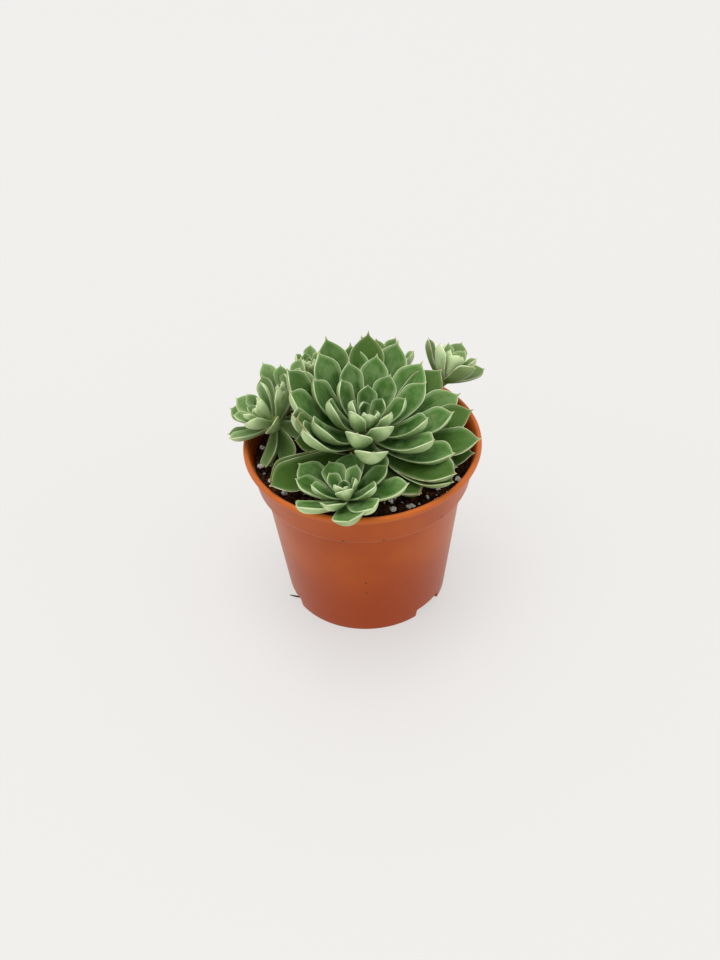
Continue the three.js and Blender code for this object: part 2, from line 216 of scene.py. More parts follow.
def finishOf(name, build, settings):
    # A material with one Principled shader: build gives its varying sockets from a
    # Wire, and settings hold what is the same all over the surface
    material = bpy.data.materials.new(name)
    material.use_nodes = True
    tree = material.node_tree
    shader = tree.nodes["Principled BSDF"]
    for socket, value in settings.items():
        shader.inputs[socket].default_value = value
    for socket, wire in build(Wire(tree)).items():
        tree.links.new(wire.socket, shader.inputs[socket])
    return material


# Camera and light

cameraForm = {
    "place": (-1.953, -692.407, 672.608), "pitch": 41.16, "roll": -2.39,
    "lens": 67.5, "sensor": 36,
}
studio = {
    "floorSide": 6000, "floorColour": paint(134, 133, 131), "floorRoughness": 0.6,
    "floorGlow": paint(237, 236, 234), "glowStrength": 0.64,
    "surround": (1.0, 1.0, 1.0), "surroundStrength": 0.86,
    "overhead": {"place": (-250, 60, 3000), "size": 1900, "power": 36},
    "leftBox": {"place": (-2600, -700, 1500), "size": 1600, "power": 5},
    "rightBox": {"place": (2600, -900, 1300), "size": 1600, "power": 6},
}


def cameraAxes(form):
    # Forward goes down by the pitch, and right and up then turn by the roll
    pitch, roll = math.radians(form["pitch"]), math.radians(form["roll"])
    forward = np.array([0, math.cos(pitch), -math.sin(pitch)])
    right = np.array([1.0, 0, 0])
    up = np.array([0, math.sin(pitch), math.cos(pitch)])
    turnedRight = right * math.cos(roll) + up * math.sin(roll)
    turnedUp = up * math.cos(roll) - right * math.sin(roll)
    return turnedRight, turnedUp, forward


def makeCamera(form):
    lens = bpy.data.cameras.new("camera")
    lens.lens, lens.sensor_width, lens.sensor_fit = form["lens"], form["sensor"], "AUTO"
    lens.clip_start, lens.clip_end = 0.01, 50
    camera = bpy.data.objects.new("camera", lens)
    bpy.context.scene.collection.objects.link(camera)
    right, up, forward = cameraAxes(form)
    turn = Matrix(np.stack([right, up, -forward], 1).tolist())
    camera.matrix_world = Matrix.Translation(Vector(toFrame(form["place"]))) @ turn.to_4x4()
    bpy.context.scene.camera = camera


def makeSoftbox(name, form):
    light = bpy.data.lights.new(name, "AREA")
    light.shape, light.size, light.energy = "SQUARE", form["size"] / 1000, form["power"]
    softbox = bpy.data.objects.new(name, light)
    bpy.context.scene.collection.objects.link(softbox)
    place = Vector(toFrame(form["place"]))
    aim = Vector(toFrame((0, 0, potHeight / 2))) - place
    softbox.matrix_world = Matrix.Translation(place) @ aim.to_track_quat("-Z", "Y").to_matrix().to_4x4()


def makeStudio(form):
    scene = bpy.context.scene
    scene.view_settings.view_transform = "Standard"
    world = bpy.data.worlds.new("surround")
    world.use_nodes = True
    background = world.node_tree.nodes["Background"]
    background.inputs["Color"].default_value = (*form["surround"], 1)
    background.inputs["Strength"].default_value = form["surroundStrength"]
    scene.world = world
    makeSoftbox("overheadSoftbox", form["overhead"])
    makeSoftbox("leftSoftbox", form["leftBox"])
    makeSoftbox("rightSoftbox", form["rightBox"])
    half = form["floorSide"] / 2
    corners = [(-half, -half, 0), (half, -half, 0), (half, half, 0), (-half, half, 0)]
    floor = makePiece("floor", corners, [(0, 1, 2, 3)])
    floor.data.materials.append(finishOf("floorPaper", lambda wire: {}, {
        "Base Color": form["floorColour"], "Roughness": form["floorRoughness"],
        "Emission Color": form["floorGlow"], "Emission Strength": form["glowStrength"]}))


makeCamera(cameraForm)
makeStudio(studio)
print("camera and studio ready")


# Pot

potForm = {
    "baseRadius": 40.7, "shoulderRadius": 50.4, "shoulderHeight": 71,
    "collarLowRadius": 54.3, "collarLowHeight": 74,
    "collarTopRadius": 56.8, "collarTopHeight": 90.4,
    "rimInnerRadius": 57.1, "wall": 1.3, "footWidth": 1.8, "floorUnderside": 5.6,
    "notchAngles": (-71, 49, 169), "notchSpan": 26, "notchHeight": 4.8, "notchSlope": 1.3,
    "drainHoles": 8, "drainRadius": 3.5, "drainCircle": 29, "drainSegments": 28,
    "segments": 288, "sharpAngle": 38,
}


def roundedProfile(corners, steps=5):
    # Straight runs between (radius, height, rounding) corners, where each rounding is
    # a quadratic curve that starts and ends that far from its corner
    points = [corners[0][:2]]
    for before, here, after in zip(corners, corners[1:], corners[2:]):
        corner = np.array(here[:2], float)
        if here[2] == 0:
            points.append(tuple(corner))
            continue
        ends = []
        for other in (before, after):
            way = np.array(other[:2], float) - corner
            ends.append(corner + way * min(0.45, here[2] / np.linalg.norm(way)))
        for share in np.linspace(0, 1, steps):
            middle = 2 * corner * share * (1 - share)
            points.append(tuple(ends[0] * (1 - share) ** 2 + middle + ends[1] * share**2))
    return np.array(points + [corners[-1][:2]])


def potProfile(form):
    wall, top = form["wall"], potHeight
    foot = form["baseRadius"] - form["footWidth"]
    floorTop = form["floorUnderside"] + wall
    lean = (form["shoulderRadius"] - form["baseRadius"]) / form["shoulderHeight"]
    return roundedProfile([
        (0, form["floorUnderside"], 0),
        (foot, form["floorUnderside"], 0.4),
        (foot, 0, 0.25),
        (form["baseRadius"], 0, 0.35),
        (form["baseRadius"] + lean * form["floorUnderside"], form["floorUnderside"], 0),
        (form["shoulderRadius"], form["shoulderHeight"], 1.0),
        (form["collarLowRadius"], form["collarLowHeight"], 1.2),
        (form["collarTopRadius"], form["collarTopHeight"], 0.25),
        (rimRadius - 0.5, form["collarTopHeight"] + 0.4, 0.2),
        (rimRadius, form["collarTopHeight"] + 1.3, 0.6),
        (rimRadius - 0.3, top - 0.5, 0.7),
        (rimRadius - 1.2, top, 0.5),
        (form["rimInnerRadius"] + 0.6, top, 0.5),
        (form["rimInnerRadius"], top - 0.8, 0.5),
        (form["collarTopRadius"] - wall, form["collarTopHeight"] - 1, 0.5),
        (form["collarLowRadius"] - wall, form["collarLowHeight"], 1.0),
        (form["shoulderRadius"] - wall, form["shoulderHeight"], 1.0),
        (form["baseRadius"] - wall + 0.8, floorTop, 1.0),
        (0, floorTop, 0),
    ])


def turnedPoints(profile, angles):
    # Each profile point carried round the axis: x = r sin a, y = -r cos a, so that
    # angle 0 faces the camera and the angle grows towards +X
    radius, height = profile[:, 0, None], profile[:, 1, None]
    return np.stack([radius * np.sin(angles), -radius * np.cos(angles), height + 0 * angles], -1)


def notchLift(angles, form):
    # The notch's height inside its span, with sides that rise over a short slope
    lift = np.zeros_like(angles)
    for centre in form["notchAngles"]:
        off = np.degrees(np.abs((angles - math.radians(centre) + np.pi) % (2 * np.pi) - np.pi))
        inside = smoothStep(form["notchSpan"] / 2 - off, 0, form["notchSlope"])
        lift = np.maximum(lift, form["notchHeight"] * inside)
    return lift


def turnedSkin(profile, angles, lift=None):
    # Points and faces of a turned body whose profile starts and ends on the axis
    grid = turnedPoints(profile[1:-1], angles)
    if lift is not None:
        grid = lift(grid)
    rows, columns = grid.shape[:2]
    points = np.vstack([grid.reshape(-1, 3), [(0, 0, profile[0, 1]), (0, 0, profile[-1, 1])]])
    bottom, top = len(points) - 2, len(points) - 1
    first = np.arange(columns)
    fans = np.vstack([fanFaces(first, bottom, True),
                      fanFaces(first + (rows - 1) * columns, top, False)])
    return points, gridFaces(rows, columns), fans


def makePot(form):
    steps = np.linspace(0, 2 * np.pi, form["segments"], endpoint=False)
    edges = [math.radians(centre + side * form["notchSpan"] / 2)
             for centre in form["notchAngles"] for side in (-1, 1)]
    near = np.radians(np.linspace(-form["notchSlope"], form["notchSlope"], 9))
    angles = np.unique(np.round(np.concatenate([steps, *[edge + near for edge in edges]]) % (2 * np.pi), 5))
    lean = (form["shoulderRadius"] - form["baseRadius"]) / form["shoulderHeight"]

    def liftFoot(grid):
        # Points below the floor rise by the notch's height, less and less up to the
        # floor, and follow the wall's lean
        share = np.clip(1 - grid[..., 2] / form["floorUnderside"], 0, 1)
        radius = np.hypot(grid[..., 0], grid[..., 1])
        rise = share * notchLift(angles, form) * (radius > form["baseRadius"] - form["footWidth"] - 0.5)
        grow = (1 + lean * rise / radius)[..., None]
        return np.concatenate([grid[..., :2] * grow, (grid[..., 2] + rise)[..., None]], -1)

    points, quads, fans = turnedSkin(potProfile(form), angles, liftFoot)
    pot = makePiece("pot_shell", points, quads, fans)
    cutDrains(pot, form)
    pot.data.set_sharp_from_angle(angle=math.radians(form["sharpAngle"]))
    return pot


def cutDrains(pot, form):
    # The drain holes are cut by upright posts through the raised floor
    turn = np.linspace(0, 2 * np.pi, form["drainSegments"], endpoint=False)
    low, high = form["floorUnderside"] - 3, form["floorUnderside"] + 5
    radius = form["drainRadius"]
    profile = np.array([(0, low), (radius, low), (radius, high), (0, high)])
    post, quads, fans = turnedSkin(profile, turn)
    centres = 2 * np.pi * np.arange(form["drainHoles"]) / form["drainHoles"]
    shifts = np.stack([np.cos(centres), np.sin(centres), 0 * centres], -1) * form["drainCircle"]
    starts = np.arange(form["drainHoles"])[:, None, None] * len(post)
    posts = makePiece("drainPosts", (post + shifts[:, None]).reshape(-1, 3),
                      (quads + starts).reshape(-1, 4), (fans + starts).reshape(-1, 3))
    cut = pot.modifiers.new("drains", "BOOLEAN")
    cut.operation, cut.solver, cut.object = "DIFFERENCE", "EXACT", posts
    applyModifiers(pot)
    bpy.data.objects.remove(posts)


def applyModifiers(piece):
    depsgraph = bpy.context.evaluated_depsgraph_get()
    finished = bpy.data.meshes.new_from_object(piece.evaluated_get(depsgraph))
    piece.modifiers.clear()
    piece.data = finished


potLook = {
    # The low colour is painted shade for the lower wall
    "body": paint(174, 74, 0), "deep": paint(162, 62, 0), "low": paint(150, 48, 0),
    # The lip colour is a painted highlight on the top of the lip
    "dust": paint(196, 150, 122), "litLip": paint(206, 112, 56), "speck": paint(66, 34, 22),
    # Dark specks of dirt on the wall: angle from the front in degrees, height, radius
    "specks": ((-12.2, 74.7, 0.8), (8.9, 74.7, 0.7), (43.2, 75.9, 0.8), (-1.4, 38.4, 0.5),
               (-1.1, 30.2, 0.5)),
}


def speckShare(wire, where):
    # How much of a speck each point shows: balls round the specks, soft at their edges
    form, share = potForm, None
    base, shoulder, collar = form["baseRadius"], form["shoulderRadius"], form["collarLowRadius"]
    for angle, height, radius in potLook["specks"]:
        turn = math.radians(angle)
        out = mix((base, shoulder), min(1, height / form["shoulderHeight"]))
        overhang = smoothStep(height, form["shoulderHeight"], form["collarLowHeight"])
        out = out + overhang * (collar - shoulder)
        centre = (0.001 * out * math.sin(turn), -0.001 * out * math.cos(turn), 0.001 * height)
        far = wire.node("ShaderNodeVectorMath", {"operation": "DISTANCE"},
                        {0: where, 1: centre}, output="Value")
        near = wire.step(far, 0.0006 * radius, 0.0014 * radius, 1, 0)
        share = near if share is None else share + near
    return share


def potFinish(wire):
    # Moulded plastic: a slightly uneven colour, painted shade that deepens it lower down, a painted
    # highlight that pales the lip's top, faint turned marks, a film of dust, a few specks and an
    # orange-peel surface
    where = wire.place()
    height = wire.node("ShaderNodeSeparateXYZ", {}, {0: where}, output="Z")
    cloud = wire.noise(where, 28, 3)
    colour = wire.blend(wire.step(cloud, 0.35, 0.7), potLook["body"], potLook["deep"])
    # Painted shade: the wall gets darker lower down, towards the foot
    colour = wire.blend(wire.step(height, 0.012, 0.06, 0.8, 0), colour, potLook["low"])
    # Painted highlight: the top of the lip is paler
    colour = wire.blend(wire.step(height, 0.0908, 0.0925, 0, 0.6), colour, potLook["litLip"])
    turned = wire.noise(wire.place((0.02, 0.02, 1)), 900, 2)
    dust = wire.step(wire.noise(where, 60, 5, 0.65), 0.55, 0.8) * 0.06
    dusty = wire.blend(dust, colour, potLook["dust"])
    specked = wire.blend(speckShare(wire, where), dusty, potLook["speck"])
    peel = wire.noise(where, 1500, 2)
    relief = wire.bump(turned * 0.5 + peel * 0.5, 0.12, 0.0002)
    return {"Base Color": specked, "Roughness": 0.33 + 0.06 * cloud + dust * 0.8, "Normal": relief}


potPlastic = finishOf("potPlastic", potFinish, {"IOR": 1.5, "Specular Tint": (1.0, 0.5, 0.2, 1.0)})
settle(makePot(potForm), "pot_plastic", potPlastic, "pot")


# Soil

soilForm = {
    "level": 84.5, "mound": 0.5, "gap": 0.35, "rings": 150, "segments": 420,
    "clods": ((5.2, 0.9), (2.6, 0.75), (1.3, 0.45), (0.7, 0.22)), "relief": 0.8, "edgeDip": 0.8,
}


def soilHeight(x, y):
    # A low mound with slow ripples
    reach = potForm["collarTopRadius"] - potForm["wall"]
    mound = soilForm["mound"] * (1 - (x * x + y * y) / (reach * reach))
    ripples = 0.5 * np.sin(0.45 * x + 1.3) * np.cos(0.5 * y) + 0.4 * np.sin(0.7 * x - 0.6 * y + 2)
    return soilForm["level"] + mound + ripples


def crumbHeight(x, y):
    # Rounded clods: noise at four scales, each folded so that its creases point down
    height = 0 * x
    for order, (scale, depth) in enumerate(soilForm["clods"]):
        fold = 0.75 - 2 * np.abs(valueNoise(x + 0.37 * y, y - 0.21 * x, scale, order))
        height = height + depth * fold
    return height * soilForm["relief"]


def groundHeight(x, y):
    return soilHeight(x, y) + crumbHeight(x, y)


def makeSoil(form):
    wall, gap = potForm["wall"], form["gap"]
    slope = (potForm["collarTopRadius"] - potForm["collarLowRadius"]) / (
        potForm["collarTopHeight"] - potForm["collarLowHeight"])
    reach = potForm["collarLowRadius"] + slope * (form["level"] - potForm["collarLowHeight"]) - wall - gap
    side = np.array([
        (0, potForm["floorUnderside"] + wall + gap),
        (potForm["baseRadius"] - wall - gap + 0.8, potForm["floorUnderside"] + wall + gap),
        (potForm["shoulderRadius"] - wall - gap, potForm["shoulderHeight"] + 0.2),
        (potForm["collarLowRadius"] - wall - gap - 0.1, potForm["collarLowHeight"] + 0.2),
        (reach - 0.1, form["level"] - 2.5)])
    top = np.stack([(reach - 0.15) * np.linspace(1, 0, form["rings"]), np.full(form["rings"], 1e3)], 1)
    angles = np.linspace(0, 2 * np.pi, form["segments"], endpoint=False)

    def layCrumbs(grid):
        # The top rows take the ground's height, which dips a little at the wall
        x, y = grid[..., 0], grid[..., 1]
        dip = form["edgeDip"] * smoothStep(np.hypot(x, y), reach - 4, reach)
        height = np.where(grid[..., 2] > 500, groundHeight(x, y) - dip, grid[..., 2])
        return np.concatenate([grid[..., :2], height[..., None]], -1)

    profile = np.vstack([side, top])
    profile[-1, 1] = groundHeight(np.array(0.0), np.array(0.0))
    points, quads, fans = turnedSkin(profile, angles, layCrumbs)
    return makePiece("soil_bed", points, quads, fans)


soilLook = {
    "peat": paint(78, 48, 26), "dark": paint(26, 14, 7), "bark": paint(136, 92, 58),
    "perlite": paint(248, 246, 238), "perliteStain": paint(206, 198, 180),
}


def soilFinish(wire):
    # Peat: dark and light crumbs, a few paler bark fibres, and a rough matt surface
    where = wire.place()
    clods = wire.noise(where, 420, 4, 0.7)
    light = wire.step(clods + 0.12 * wire.fact("tone"), 0.38, 0.66)
    colour = wire.blend(light, soilLook["dark"], soilLook["peat"])
    drawn = wire.noise(wire.place((1, 0.35, 1)), 900, 3, 0.6)
    fibres = wire.step(drawn + 0.1 * wire.fact("tone"), 0.58, 0.7)
    relief = wire.bump(wire.noise(where, 1400, 4, 0.7), 0.8, 0.0006)
    return {"Base Color": wire.blend(fibres * 0.6, colour, soilLook["bark"]), "Normal": relief}


def perliteFinish(wire):
    # Puffed white glass: chalky, with greyer pits and soil stains
    where = wire.place()
    stain = wire.step(wire.noise(where, 700, 3, 0.6), 0.5, 0.72)
    pits = wire.noise(where, 2600, 3, 0.6)
    colour = wire.blend(stain * 0.4, soilLook["perlite"], soilLook["perliteStain"])
    return {"Base Color": colour, "Normal": wire.bump(pits, 0.6, 0.0005)}


peat = finishOf("peat", soilFinish, {"Roughness": 0.95, "Specular IOR Level": 0.2})
perlite = finishOf("perlite", perliteFinish, {"Roughness": 0.85, "Specular IOR Level": 0.3})
settle(makeSoil(soilForm), "soil", peat, "soil")


def lumps(places, sizes, seed, rows=7, columns=10, flat=0.75):
    # Irregular grains: spheres whose radius swells and dips with three sine waves of
    # direction, each grain with waves of its own, pressed a little flat
    polar = np.linspace(0, np.pi, rows + 2)[1:-1]
    turn = np.linspace(0, 2 * np.pi, columns, endpoint=False)
    ring = np.stack([np.sin(polar)[:, None] * np.cos(turn), np.sin(polar)[:, None] * np.sin(turn),
                     np.cos(polar)[:, None] + 0 * turn], -1).reshape(-1, 3)
    ways = np.vstack([ring, [(0, 0, 1), (0, 0, -1)]])
    dice = np.random.default_rng(seed)
    count = len(places)
    waves = dice.normal(0, 2.2, (count, 3, 3))
    shifts = dice.uniform(0, 2 * np.pi, (count, 1, 3))
    stretch = dice.uniform(0.7, 1.25, (count, 1, 3)) * (1, 1, flat)
    swell = 1 + 0.2 * np.sin(np.einsum("pk,cwk->cpw", ways, waves) + shifts).sum(-1)
    points = ways[None] * swell[..., None] * stretch * np.asarray(sizes)[:, None, None] / 2
    spin = dice.uniform(0, 2 * np.pi, count)[:, None]
    turned = np.stack([points[..., 0] * np.cos(spin) - points[..., 1] * np.sin(spin),
                       points[..., 0] * np.sin(spin) + points[..., 1] * np.cos(spin), points[..., 2]], -1)
    size = len(ways)
    starts = np.arange(count)[:, None, None] * size
    fans = np.vstack([fanFaces(np.arange(columns), size - 2, True),
                      fanFaces(np.arange(columns) + (rows - 1) * columns, size - 1, False)])
    quads = gridFaces(rows, columns)[:, ::-1]
    return ((turned + np.asarray(places)[:, None]).reshape(-1, 3),
            (quads + starts).reshape(-1, 4), (fans[:, ::-1] + starts).reshape(-1, 3))


grainForm = {
    # Grains that show beside the leaves (x, y, size), and how many more are strewn
    "seen": ((-51.6, -7.4, 3.0), (-41.6, -23.0, 3.2), (-44.5, -17.5, 2.0), (-39.5, -28.5, 2.6),
             (12.7, -37.6, 2.6), (13.2, -43.0, 3.0), (22.0, -41.5, 3.2), (36.0, -30.5, 3.4),
             (35.2, -36.8, 2.8), (46.6, -22.4, 2.6), (18.0, -39.0, 1.6), (26.5, -40.0, 1.6),
             (-47.0, -20.0, 1.6), (-49.5, -12.0, 1.5), (41.0, -31.0, 1.5)),
    "perlite": 90, "perliteSize": (0.8, 3.0), "crumbs": 800, "crumbSize": (0.8, 3.4),
    "reach": 51.5, "seed": 17,
}


def strewn(count, sizes, seed):
    # Places spread evenly over the soil's disc, with sizes that favour the small
    dice = np.random.default_rng(seed)
    radius = grainForm["reach"] * np.sqrt(dice.uniform(0, 1, count))
    angle = dice.uniform(0, 2 * np.pi, count)
    return np.stack([radius * np.cos(angle), radius * np.sin(angle),
                     mix(sizes, dice.uniform(0, 1, count) ** 2)], 1)


def makeGrains(name, rows, seed, smooth, flat):
    rows = np.asarray(rows, float)
    height = groundHeight(rows[:, 0], rows[:, 1]) + 0.12 * rows[:, 2]
    places = np.stack([rows[:, 0], rows[:, 1], height], 1)
    points, quads, fans = lumps(places, rows[:, 2], seed, flat=flat)
    tones = np.random.default_rng(seed + 1).uniform(-1, 1, len(rows))
    facts = {"tone": np.repeat(tones, len(points) // len(rows))}
    return makePiece(name, points, quads, fans, facts, smooth)


loosePerlite = strewn(grainForm["perlite"], grainForm["perliteSize"], grainForm["seed"])
seenPerlite = np.array(grainForm["seen"])
settle(makeGrains("perlite_grains", np.vstack([seenPerlite, loosePerlite]), 3, False, 0.8), "soil", perlite)
looseCrumbs = strewn(grainForm["crumbs"], grainForm["crumbSize"], grainForm["seed"] + 1)
settle(makeGrains("peat_crumbs", looseCrumbs, 4, False, 0.7), "soil", peat)


# Leaves

leafForm = {  # fractions of a leaf's length, half width or thickness
    "baseWidth": 0.42, "widest": 0.72, "body": 0.84, "tipWidth": 0.09, "shoulder": 2.3,
    "above": 0.22, "below": 0.78, "thickRatio": 0.26, "stations": 30, "around": 34,
    "fresher": 0.25,  # how much younger a rosette looks that has no resting leaves
}
room = {"leaf": 0.9, "stem": 1.0, "soil": 1.4, "rim": 0.7}
stemForm = {"steps": 36, "around": 20, "scar": 0.06, "scarTurns": 60, "peg": 9}

# Rosettes, those that keep their leaves' places first. pitch, length and width run
# through three values from the youngest leaf to the oldest full-grown one, core, curl
# and cup through two. lean is the axis's tilt towards +X and +Y, turn the step of the
# leaf spiral, and root where the stem enters the soil. sway tilts the grown leaves
# more to one side, twist rolls those at the sides towards the light in front, and
# leaves past the mature ones rest at their own slope from the level, with their own
# length. pale is how much more bloom the rosette has.
rosettes = {
    "rosette_front": {
        "centre": (-9.2, -47.3, 99.1), "lean": (-9, 7.3), "root": (-7, -39), "stem": 3,
        "seed": 21, "phase": 303.8, "turn": 138.41, "count": 20, "jitter": 1,
        "pitch": (88.8, 5, 20.6), "length": (5.3, 24.9, 33.4), "width": (4.5, 14, 15.5),
        "sway": (-12, -1.3), "drop": 3, "core": (0.5, 3), "curl": (0.9, 0.3), "cup": (0.4, 0.18)},
    "offset_left": {
        "centre": (-48.5, 8, 105.5), "lean": (-42, 0), "root": (-42, 11), "stem": 2.4,
        "seed": 41, "phase": 200, "turn": -137.5, "count": 24, "mature": 18, "jitter": 2,
        "pitch": (88, 60, 20), "length": (6, 22, 28), "width": (3, 10, 11.5), "rest": (-10, 27),
        "drop": 8, "core": (0.4, 2.2), "curl": (0.7, 0.5), "cup": (0.45, 0.3), "pale": 0.5},
    "offset_left_tall": {
        "centre": (-39, 22, 107), "lean": (-12, 2), "root": (-36, 25), "stem": 2.6,
        "seed": 52, "phase": 60, "turn": 137.5, "count": 16, "jitter": 3,
        "pitch": (88, 74, 44), "length": (6, 22, 28), "width": (3, 9.5, 11),
        "drop": 9, "core": (0.4, 2.4), "curl": (0.6, 0.6), "cup": (0.45, 0.3), "pale": 0.6},
    "rosette_main": {
        "centre": (2.9, -6.6, 109.8), "lean": (9.9, 3.9), "root": (2, -3), "stem": 8,
        "seed": 5, "phase": 213.4, "turn": 137.55, "count": 58, "mature": 44, "jitter": 1,
        "pitch": (78, 9.8, 42.5), "length": (6.8, 55.9, 50.4), "width": (6, 20, 17),
        "rest": (2, 45), "sway": (-14.6, 14.8), "twist": 29, "drop": 13.5, "core": (0.5, 11),
        "curl": (1.3, 0.6), "cup": (0.45, 0.3)},
    "offset_right": {
        "centre": (45.5, 31, 111.6), "lean": (26, 14), "root": (26, 34), "stem": 2.2,
        "seed": 33, "phase": 144, "turn": -137.5, "count": 16, "mature": 14, "jitter": 2,
        "pitch": (88, 76, 46), "length": (6, 18, 22), "width": (3, 9.5, 11), "rest": (0, 22),
        "drop": 6, "core": (0.4, 2), "curl": (0.6, 0.5), "cup": (0.5, 0.35), "pale": 1},
    "offset_back_left": {
        "centre": (-26, 42, 107), "lean": (0, 0), "root": (-24, 40), "stem": 2,
        "seed": 63, "phase": 10, "turn": 137.5, "count": 14, "jitter": 3,
        "pitch": (88, 78, 58), "length": (5, 14, 18), "width": (2.5, 6, 7.5),
        "drop": 6, "core": (0.4, 1.8), "curl": (0.5, 0.5), "cup": (0.4, 0.3), "pale": 0.6},
    "offset_back": {
        "centre": (11, 51, 97.5), "lean": (3, 5), "root": (11, 44), "stem": 2.6,
        "seed": 77, "phase": 40, "turn": -137.5, "count": 20, "jitter": 3,
        "pitch": (88, 74, 50), "length": (6, 24, 30), "width": (3, 11, 12),
        "drop": 8, "core": (0.4, 2.8), "curl": (0.6, 0.5), "cup": (0.45, 0.3), "pale": 0.5},
}


def halfWidth(s):
    # Over the widest: a sine's rise from the base, then shoulders that fall by a
    # power, and a slender tip that goes on past them
    form = leafForm
    s = np.asarray(s, float)
    rise = np.sin(np.pi / 2 * np.clip(s / form["widest"], 0, 1)) ** 1.3
    u = np.clip((s - form["widest"]) / (1 - form["widest"]), 0, 1)
    blade = np.clip(1 - (u / form["body"]) ** form["shoulder"], 0, 1)
    tip = form["tipWidth"] * np.clip((1 - u) / (1 - form["body"]), 0, 1)
    outer = np.sqrt(blade**2 * (1 - form["tipWidth"] ** 2) + tip**2)
    return np.where(s < form["widest"], form["baseWidth"] + (1 - form["baseWidth"]) * rise, outer)


def fullness(s):
    # Thickness over the thickest: a slow sine's rise, then a power of the width
    rise = 0.62 + 0.38 * np.sin(np.pi / 2 * np.clip(s / leafForm["widest"], 0, 1))
    return np.where(s < leafForm["widest"], rise, np.maximum(0.03, halfWidth(s) ** 0.75))


def faceHeights(leaf, s, v):
    # Both faces over the mid arc: a shallow cup across, a low crown and a full keel
    side = np.minimum(1, np.abs(v))
    middle = leaf["cup"] * leaf["width"] / 2 * halfWidth(s) * side**2
    thick = leaf["thick"] * fullness(s)
    return (middle + leafForm["above"] * thick * (1 - side**2.4) ** 0.6,
            middle - leafForm["below"] * thick * (1 - side**2) ** 0.8)


def leafPoints(leaf, s, v, upper):
    # The mid line is a circle's arc of the leaf's length that turns up by its curl;
    # upper is 1 on the upper face and 0 on the lower one
    length, curl = leaf["length"], leaf["curl"]
    angle = curl * (s - 0.5)
    reach = length / curl * (np.sin(angle) + math.sin(curl / 2))
    sag = length / curl * (math.cos(curl / 2) - np.cos(angle))
    high, low = faceHeights(leaf, s, v)
    height = np.where(upper > 0.5, high, low)
    parts = (reach - height * np.sin(angle), v * leaf["width"] / 2 * halfWidth(s),
             sag + height * np.cos(angle))
    ways = (leaf["along"], leaf["across"], leaf["up"])
    return leaf["base"] + sum(part[..., None] * way for part, way in zip(parts, ways))


def isInLeaf(leaf, points, gap):
    # Which points lie within the gap of a leaf's body, or of many leaves' bodies
    length, curl = leaf["length"], leaf["curl"]
    offset = points - leaf["base"]
    radius = length / curl
    x = (offset * leaf["along"]).sum(-1) - radius * np.sin(curl / 2)
    z = radius * np.cos(curl / 2) - (offset * leaf["up"]).sum(-1)
    s = np.arctan2(x, z) / curl + 0.5
    end = np.clip(s, 0, 1)
    half = leaf["width"] / 2 * halfWidth(end)
    y = (offset * leaf["across"]).sum(-1)
    high, low = faceHeights(leaf, end, np.clip(y / np.maximum(half, 1e-9), -1, 1))
    height = radius - np.hypot(x, z)
    near = np.linalg.norm(offset, axis=-1) <= length + 4 * gap
    return (near & (s >= 0) & (s <= 1 + gap / length) & (np.abs(y) <= half + gap)
            & (height > low - gap) & (height < high + gap))


def headFrame(head):
    # The rosette's axis, tilted by its two leans, and two directions square to it
    leanX, leanY = np.sin(np.radians(head["lean"]))
    axis = np.array([leanX, leanY, math.sqrt(1 - leanX**2 - leanY**2)])
    east = np.cross([0, 1, 0], axis)
    east /= np.linalg.norm(east)
    return axis, east, np.cross(axis, east)


def grown(values, t):
    # A quadratic curve from the young value, past the middle one, to the old one
    young, middle, old = values
    return young * (1 - t) ** 2 + 2 * middle * t * (1 - t) + old * t * t


def spiralLeaf(head, index, bend):
    # One leaf of the spiral, lifted, turned or shortened by a bend
    lift, turn, size = bend
    mature = head.get("mature", head["count"])
    t = min(1, (index + 0.5) / mature)

    def vary(place, amount):
        return amount * draw(head["seed"], index * 7 + place)

    azimuth = math.radians(head["phase"] + head["turn"] * index + vary(2, head["jitter"]) + turn)
    axis, east, north = headFrame(head)
    outward = east * math.cos(azimuth) + north * math.sin(azimuth)
    swayEast, swayNorth = head.get("sway", (0, 0))
    slope = grown(head["pitch"], t) + t * (swayEast * math.cos(azimuth) + swayNorth * math.sin(azimuth))
    length = grown(head["length"], t)
    if index >= mature:
        slope, length = head["rest"]
        slope = slope - math.degrees(math.asin(outward[2]))
    pitch = math.radians(slope + vary(1, head["jitter"]) + lift)
    twist = head.get("twist", 0) * t * math.cos(azimuth)
    roll = math.radians(vary(5, 3 + head["jitter"]) + twist)
    length = length * (1 + vary(3, 0.04)) * size
    width = grown(head["width"], t) * (1 + vary(4, 0.05)) * math.sqrt(size)
    along = outward * math.cos(pitch) + axis * math.sin(pitch)
    flatUp = axis * math.cos(pitch) - outward * math.sin(pitch)
    flatAcross = np.cross(flatUp, along)
    base = np.array(head["centre"]) - axis * head["drop"] * t + outward * mix(head["core"], t)
    return {
        "base": base, "along": along, "length": length, "width": width,
        "across": flatAcross * math.cos(roll) + flatUp * math.sin(roll),
        "up": flatUp * math.cos(roll) - flatAcross * math.sin(roll),
        "thick": leafForm["thickRatio"] * width, "curl": mix(head["curl"], t),
        "cup": mix(head["cup"], t), "pale": head.get("pale", 0),
        "age": (index + 0.5) / mature - leafForm["fresher"] * ("mature" not in head),
        "tone": draw(head["seed"], index * 7 + 6), "middle": base + along * length / 2}


def stemCourse(head):
    # Straight up out of the soil, then to the rosette's core
    axis = headFrame(head)[0]
    centre = np.array(head["centre"], float)
    x, y = head["root"]
    ground = float(soilHeight(x, y))
    stem, core = head["stem"], head["core"]
    places = [(x, y, ground - stemForm["peg"]), (x, y, ground + 1),
              centre - axis * (head["drop"] - 1), centre]
    return np.array(places), np.array([stem, stem, max(stem, core[1] + 0.8), core[0] + 1.2])


